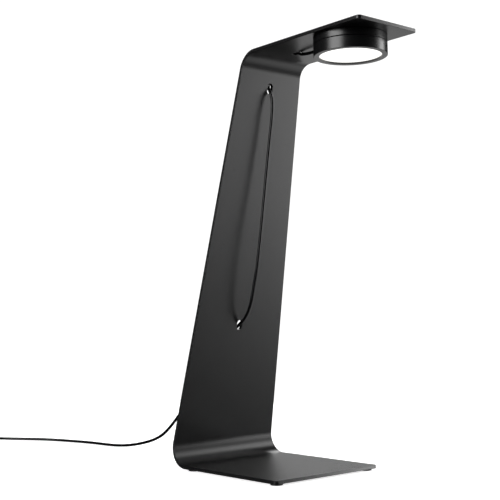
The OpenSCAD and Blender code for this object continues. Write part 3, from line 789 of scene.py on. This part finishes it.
HEAD_R = 0.04
CUP_H = 0.0078
CUP_TOP_T = 0.002
CUP_WALL = 0.003
HOUSING_TOP = 0.0082
HOUSING_BOTTOM = 0.021
HOUSING_WALL = 0.0035
LIP_T = 0.002
LIP_R = 0.034
DIFFUSER_TOP = 0.017
DIFFUSER_R = 0.0362
EDGE = 0.0005


def turned(name, outline, material, body, replaced, slot, place=head, axes=Matrix.Identity(3), segments=192):
    """A turned piece, round the lamp's axis unless it is given a place and axes of its own."""
    points, faces = lathe_mesh(outline, place, axes, segments)
    return piece(name, points, faces, material, body, replaced, slot)


turned("mounting_cup", rounded([
    (0, -CUP_TOP_T, 0), (HEAD_R - CUP_WALL, -CUP_TOP_T, 0.0006), (HEAD_R - CUP_WALL, -CUP_H, 0.0002),
    (HEAD_R, -CUP_H, EDGE), (HEAD_R, -GAP, EDGE), (0, -GAP, 0)]),
    LAMP_COAT, "stand", ["mount_cup"], "lamp_black")

turned("lamp_body", rounded([
    (HEAD_R - HOUSING_WALL, -HOUSING_TOP, 0), (HEAD_R - HOUSING_WALL, LIP_T - HOUSING_BOTTOM, 0),
    (LIP_R, LIP_T - HOUSING_BOTTOM, 0.0001), (LIP_R, -HOUSING_BOTTOM, 0.0003),
    (HEAD_R, -HOUSING_BOTTOM, EDGE), (HEAD_R, -HOUSING_TOP, EDGE),
    (HEAD_R - HOUSING_WALL, -HOUSING_TOP, 0)]),
    LAMP_COAT, "lamp", ["lamp_housing"], "lamp_black")

OPAL = opal("lit_opal", head.x, head.y, LIP_R)
turned("opal_diffuser", rounded([
    (0, -DIFFUSER_TOP, 0), (DIFFUSER_R, -DIFFUSER_TOP, 0.0003),
    (DIFFUSER_R, LIP_T - HOUSING_BOTTOM + GAP, 0.0003), (0, LIP_T - HOUSING_BOTTOM + GAP, 0)])[::-1],
    OPAL, "lamp", ["diffuser"], "opal_diffuser")


# ---- Fittings on the cord ----

ALONG_X = Matrix(((0, 0, 1), (1, 0, 0), (0, 1, 0)))
ALONG_Y = Matrix(((0, 1, 0), (0, 0, 1), (1, 0, 0)))
TOWARDS_FRONT = Matrix(((1, 0, 0), (0, 0, -1), (0, 1, 0)))

# The boot on the lamp's mounting cup, its flange against the cup's wall
BOOT_Z = arm_z - CUP_TOP_T - CORD_R - GAP
turned("lamp_cord_boot", rounded([
    (0.00265, 0.0375, 0), (0.00265, 0.0401, 0), (0.0034, 0.0401, 0.0001), (0.0034, 0.0412, 0.0002),
    (0.003, 0.0416, 0.0001), *grooved(0.003, 0.0416, 0.0024, 0.052, 5, 0.0004),
    (0.0024, 0.052, 0.0001), (0.00195, 0.052, 0)]),
    RUBBER, "stand", ["strain_relief"], "soft_black", Vector((0, head.y, BOOT_Z)), ALONG_Y, 64)

SWITCH_PLACE = Vector((-0.146, 0.58, 0.0075))
SWITCH_L, SWITCH_W, SWITCH_CORNER = 0.06, 0.02, 0.005
SWITCH_HALF_H = 0.0075
SWITCH_WALL = 0.0018
SWITCH_DECK = 0.00705
ROCKER_L, ROCKER_W = 0.017, 0.009
ROCKER_PLACE = Vector((-0.146, 0.58, 0.0124))
ROCKER_TILT = math.radians(7)
SWITCH_SCREW_X, SWITCH_SCREW_Y = 0.021, -0.0055
SCREW_HEAD_R = 0.0024
RIDGE_START, RIDGE_PITCH = 0.0145, 0.002


def switch_ring(inset):
    return round_rect(SWITCH_L - 2 * inset, SWITCH_W - 2 * inset, SWITCH_CORNER - inset)


def case_levels(wall, floor, top, edge):
    """Levels of one half of a case: its hollow, the open seam and the outside up to its rounded edge."""
    return [(wall, floor), (wall, GAP), (0.0003, GAP), (0, 0.0004), *arc_levels(0, top, edge)]


def make_switch_lower():
    lower = Moulding(lambda a, b, h: SWITCH_PLACE + Vector((a, -b, -h)))
    screws = [(lambda grown, x=x: circle(x, SWITCH_SCREW_Y, SCREW_HEAD_R + grown),
               [(0.0002, SWITCH_HALF_H), (0, SWITCH_HALF_H - 0.0002), (0, SWITCH_HALF_H - 0.00105)])
              for x in (-SWITCH_SCREW_X, SWITCH_SCREW_X)]
    lower.shell(switch_ring, case_levels(SWITCH_WALL, SWITCH_HALF_H - SWITCH_WALL, SWITCH_HALF_H, 0.0012), screws)
    piece("switch_lower_case", *lower.made(), CASE_PLASTIC, "stand", ["switch_base"], "case_black")


def make_switch_upper():
    """The upper half has a raised frame round the rocker, finger ridges, and a collar round the cord at each end."""
    upper = Moulding(lambda a, b, h: SWITCH_PLACE + Vector((a, b, h)))
    frame_levels = [(0.0016, SWITCH_DECK), (0.0014, SWITCH_HALF_H - 0.0001), (0.0012, SWITCH_HALF_H),
                    (0.0003, SWITCH_HALF_H), (0, SWITCH_HALF_H - 0.0002), (0, SWITCH_HALF_H - SWITCH_WALL)]
    upper.shell(
        switch_ring, case_levels(SWITCH_WALL, SWITCH_HALF_H - SWITCH_WALL, SWITCH_DECK, 0.0022), (),
        [(lambda grown: round_rect(ROCKER_L + 0.0018 + 2 * grown, ROCKER_W + 0.0008 + 2 * grown, 0.0008 + grown),
          frame_levels)])
    for k in range(5):
        for side in (-1, 1):
            x = side * (RIDGE_START + RIDGE_PITCH * k)
            upper.shell(
                lambda inset, x=x: [p + Vector((x, 0)) for p in
                                    round_rect(0.0011 - 2 * inset, 0.0105 - 2 * inset, 0.00054 - inset, 4)],
                [(0, SWITCH_DECK - 0.0003), (0, SWITCH_DECK + 0.0001), (0.00012, SWITCH_DECK + 0.00032),
                 (0.00035, SWITCH_HALF_H - 0.00002)])
    collars = [lathe_mesh(rounded([(0.002, 0, 0), (0.0031, 0, 0.0001), (0.0028, 0.0008, 0.0003), (0.002, 0.0008, 0)]),
                          SWITCH_PLACE + Vector((side * SWITCH_L / 2, 0, 0)),
                          ALONG_X if side > 0 else Matrix.Rotation(math.pi, 3, "Z") @ ALONG_X, 48)
               for side in (-1, 1)]
    piece("switch_upper_case", *joined(upper.made(), *collars), CASE_PLASTIC, "stand", ["switch_cover"], "case_black")


def make_rocker():
    """The dished rocker cap, tipped as it is at rest."""
    half = ROCKER_L / 2
    corners = [
        (-0.0026, -0.0022, 0.0004), (0.0026, -0.0022, 0.0004), (half, 0.0006, 0.0005), (half - 0.0002, 0.004, 0.0004),
        (half - 0.001, 0.0043, 0.0004), (0, 0.0033, 0.03), (0.001 - half, 0.0043, 0.0004),
        (0.0002 - half, 0.004, 0.0004), (-half, 0.0006, 0.0005)]
    profile = rounded([corners[-1], *corners, corners[0]], 6)[1:-1]
    aways = outward(profile)
    tilt = Matrix.Rotation(ROCKER_TILT, 3, "Y")
    rocker = Moulding(lambda a, b, h: ROCKER_PLACE + tilt @ Vector((a, -h, b)))
    end = ROCKER_W / 2
    edge = arc_levels(0, end, 0.0002, 3)
    rocker.shell(lambda inset: [p - away * inset for p, away in zip(profile, aways)],
                 [(inset, -height) for inset, height in reversed(edge)] + edge)
    piece("switch_rocker_cap", *rocker.made(), ROCKER_PLASTIC, "rocker", ["switch_rocker"], "case_black")


ADAPTER_PLACE = Vector((-0.168, 0.513, 0.017))
ADAPTER_L, ADAPTER_H, ADAPTER_CORNER = 0.052, 0.034, 0.004
ADAPTER_HALF_W = 0.013
ADAPTER_WALL = 0.002
ADAPTER_CORD_Z = 0.013
ADAPTER_SCREW_X, ADAPTER_SCREW_Z = 0.021, 0.011
PIN_X = 0.0093
PIN_R = 0.002


def adapter_ring(inset):
    return round_rect(ADAPTER_L - 2 * inset, ADAPTER_H - 2 * inset, max(0.0008, ADAPTER_CORNER - inset))


def make_adapter_front():
    front = Moulding(lambda a, b, h: ADAPTER_PLACE + Vector((a, -h, b)))
    face = ADAPTER_HALF_W
    blind = [(lambda grown, side=side: circle(side * ADAPTER_SCREW_X, side * ADAPTER_SCREW_Z, SCREW_HEAD_R + grown),
              [(0.0002, face), (0, face - 0.0002), (0, face - 0.0015)]) for side in (-1, 1)]
    blind += [(lambda grown, side=side: circle(side * PIN_X, 0, PIN_R + grown),
               [(0.0012, face), (0.001, face - 0.0004)]) for side in (-1, 1)]
    front.shell(adapter_ring, case_levels(ADAPTER_WALL, face - ADAPTER_WALL, face, 0.0016), blind)
    piece("adapter_front_case", *front.made(), CASE_PLASTIC, "stand", ["adapter_base"], "case_black")


def make_adapter_back():
    back = Moulding(lambda a, b, h: ADAPTER_PLACE + Vector((a, h, -b)))
    deck = ADAPTER_HALF_W - 0.0004
    panel = [(0.0052, deck), (0.0054, ADAPTER_HALF_W - 0.0001), (0.0057, ADAPTER_HALF_W)]
    back.shell(adapter_ring,
               case_levels(ADAPTER_WALL, ADAPTER_HALF_W - ADAPTER_WALL, deck, 0.0024) + panel)
    piece("adapter_back_case", *back.made(), CASE_PLASTIC, "stand", ["adapter_cover"], "case_black")


def make_pins():
    outline = rounded([
        (0, -0.0015, 0), (PIN_R, -0.0015, 0), (PIN_R, 0.009, 0.00005), (PIN_R - 0.00015, 0.0091, 0.00005),
        (PIN_R - 0.00015, 0.0096, 0.00005), (PIN_R, 0.0097, 0.00005), (PIN_R, 0.019, 0.0012), (0, 0.019, 0)])
    face = ADAPTER_PLACE + Vector((0, -ADAPTER_HALF_W, 0))
    pins = [lathe_mesh(outline, face + Vector((side * PIN_X, 0, 0)), TOWARDS_FRONT, 64) for side in (-1, 1)]
    piece("plug_pin_pair", *joined(*pins), BRASS, "stand", ["plug_pins"], "brass")


make_switch_lower()
make_switch_upper()
make_rocker()
make_adapter_front()
make_adapter_back()
make_pins()

turned("adapter_cord_gland", rounded([
    (0.00192, -0.01, 0), (0.0023, -0.01, 0.0001), *grooved(0.0023, -0.01, 0.0035, -0.0012, 4, 0.0004),
    (0.0035, -0.0012, 0.0002), (0.0035, -0.0001, 0.0001), (0.0028, -0.0001, 0), (0.0028, 0.0019, 0)]),
    RUBBER, "stand", ["adapter_gland"], "soft_black",
    Vector((ADAPTER_PLACE.x - ADAPTER_L / 2, ADAPTER_PLACE.y, ADAPTER_CORD_Z)), ALONG_X, 64)


def make_strap():
    """A woven strap round one side of the coil."""
    low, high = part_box("coil_tie")
    middle = (low + high) / 2
    thick, half_w = 0.0005, (high.y - low.y) / 2
    strap = Moulding(lambda a, b, h: middle + Vector((a, -h, b)))
    edge = [(thick * share, half_w - thick * fall) for share, fall in
            ((0, 0.3), (0.2, 0.08), (0.5, 0), (0.8, 0.08), (1, 0.3))]
    strap.ring_of(lambda inset: round_rect(high.x - low.x - 2 * inset, high.z - low.z - 2 * inset, 0.0022 - inset),
                  edge + [(inset, -height) for inset, height in reversed(edge)])
    piece("coil_strap", *strap.made(), WEBBING, "stand", ["coil_tie"], "soft_black")


make_strap()


# ---- Floor and light ----

FLOOR_GLOW = 0.82


def make_floor():
    """A small table top. It takes the object's shadow, but doesn't light the object or show in its finish.
    Past its edges the white of the studio goes on."""
    mesh = bpy.data.meshes.new("floor")
    side, front, back = 0.6, -0.3, 0.9
    mesh.from_pydata([(-side, front, 0), (side, front, 0), (side, back, 0), (-side, back, 0)], [], [(0, 1, 2, 3)])
    floor = bpy.data.objects.new("floor", mesh)
    bpy.context.scene.collection.objects.link(floor)
    finish = Finish("pale_floor", (0.86, 0.86, 0.86), 0.7)
    finish.set("Emission Color", (1, 1, 1, 1))
    finish.set("Emission Strength", FLOOR_GLOW)
    finish.colours(finish.noise(3, detail=2), (0.87, 0.87, 0.87), (0.85, 0.85, 0.85))
    mesh.materials.append(finish.material)
    floor.visible_diffuse = False
    floor.visible_glossy = False


# Soft lights of the studio: compass bearing (0 is +Y, 90 is +X) and height above the horizon in degrees,
# strength, and the angles from its middle at which each starts to fade and is gone
SOFT_LIGHTS = [
    (115, 27, 6.0, 9, 20), (113, 6, 1.6, 8, 18), (120, -4, 5.5, 6, 18), (131, -4, 1.8, 6, 17),
    (273, 15, 6.5, 12, 26), (43, 37, 3.6, 9, 21), (50, 8, 0.15, 10, 20), (30, -30, 0.8, 12, 38),
    (95, -36, 1.3, 12, 28),
]
STUDIO_DIM = 0.02
STUDIO_WHITE = 1.1
OVERHEAD_STRENGTH = 0.25
OVERHEAD_SPREAD = math.radians(70)


def bearing(compass, height):
    """The unit vector towards a compass bearing and height in degrees."""
    a, h = math.radians(compass), math.radians(height)
    return math.sin(a) * math.cos(h), math.cos(a) * math.cos(h), math.sin(h)


def make_world():
    """White to the camera. To everything else it is a dim studio with its soft lights."""
    world = bpy.data.worlds.new("studio")
    bpy.context.scene.world = world
    world.use_nodes = True
    tree = world.node_tree
    tree.nodes.clear()

    def math_node(operation, *values):
        made = tree.nodes.new("ShaderNodeMath")
        made.operation = operation
        for socket, value in zip(made.inputs, values):
            if isinstance(value, (int, float)):
                socket.default_value = value
            else:
                tree.links.new(value, socket)
        return made.outputs["Value"]

    way = tree.nodes.new("ShaderNodeTexCoord").outputs["Generated"]
    total = None
    for compass, height, strength, fades, gone in SOFT_LIGHTS:
        facing = tree.nodes.new("ShaderNodeVectorMath")
        facing.operation = "DOT_PRODUCT"
        facing.inputs[1].default_value = bearing(compass, height)
        tree.links.new(way, facing.inputs[0])
        lobe = tree.nodes.new("ShaderNodeMapRange")
        lobe.interpolation_type = "SMOOTHSTEP"
        for key, number in (("From Min", math.cos(math.radians(gone))),
                            ("From Max", math.cos(math.radians(fades))), ("To Min", 0), ("To Max", strength)):
            lobe.inputs[key].default_value = number
        tree.links.new(facing.outputs["Value"], lobe.inputs["Value"])
        total = math_node("ADD", lobe.outputs["Result"], STUDIO_DIM if total is None else total)
    cast = tree.nodes.new("ShaderNodeBackground")
    cast.inputs["Color"].default_value = (1, 1, 1, 1)
    tree.links.new(total, cast.inputs["Strength"])
    seen = tree.nodes.new("ShaderNodeBackground")
    seen.inputs["Color"].default_value = (1, 1, 1, 1)
    seen.inputs["Strength"].default_value = STUDIO_WHITE
    ray = tree.nodes.new("ShaderNodeLightPath")
    both = tree.nodes.new("ShaderNodeMixShader")
    tree.links.new(ray.outputs["Is Camera Ray"], both.inputs[0])
    tree.links.new(cast.outputs["Background"], both.inputs[1])
    tree.links.new(seen.outputs["Background"], both.inputs[2])
    out = tree.nodes.new("ShaderNodeOutputWorld")
    tree.links.new(both.outputs["Shader"], out.inputs["Surface"])


def make_overhead():
    """A wide soft light from straight above, for the floor and the tops."""
    data = bpy.data.lights.new("overhead", "SUN")
    data.energy = OVERHEAD_STRENGTH
    data.angle = OVERHEAD_SPREAD
    bpy.context.scene.collection.objects.link(bpy.data.objects.new("overhead", data))


make_floor()
make_world()
make_overhead()
bpy.context.scene.view_settings.view_transform = "Standard"


# ---- Finishes of the carried-over parts ----

CARRIED = {
    "mount_screws": ZINC, "contact_carrier": WHITE_PLASTIC, "carrier_cover": WHITE_PLASTIC,
    "carrier_screws": ZINC, "contact_springs": BRASS, "cord_clamp": ZINC, "clamp_screws": ZINC,
    "inner_cord": JACKET, "lead_positive": RED_WIRE, "lead_negative": GREY_WIRE,
    "back_plate": ALUMINIUM, "back_plate_screws": ZINC, "pin_insulators": WHITE_PLASTIC,
    "contact_pins": BRASS, "thermal_pad": SILICONE, "led_board": WHITE_BOARD, "board_screws": ZINC,
    "leds": PHOSPHOR, "reflector": WHITE_PLASTIC, "switch_screws": ZINC, "switch_wires": RED_WIRE,
    "switch_contacts": BRASS, "rocker_pin": ZINC, "adapter_screws": ZINC, "adapter_board": GREEN_BOARD,
    "adapter_transformer": WINDING, "adapter_capacitor": SLEEVE,
}
for name, material in CARRIED.items():
    nodes[name].data.materials.clear()
    nodes[name].data.materials.append(material)
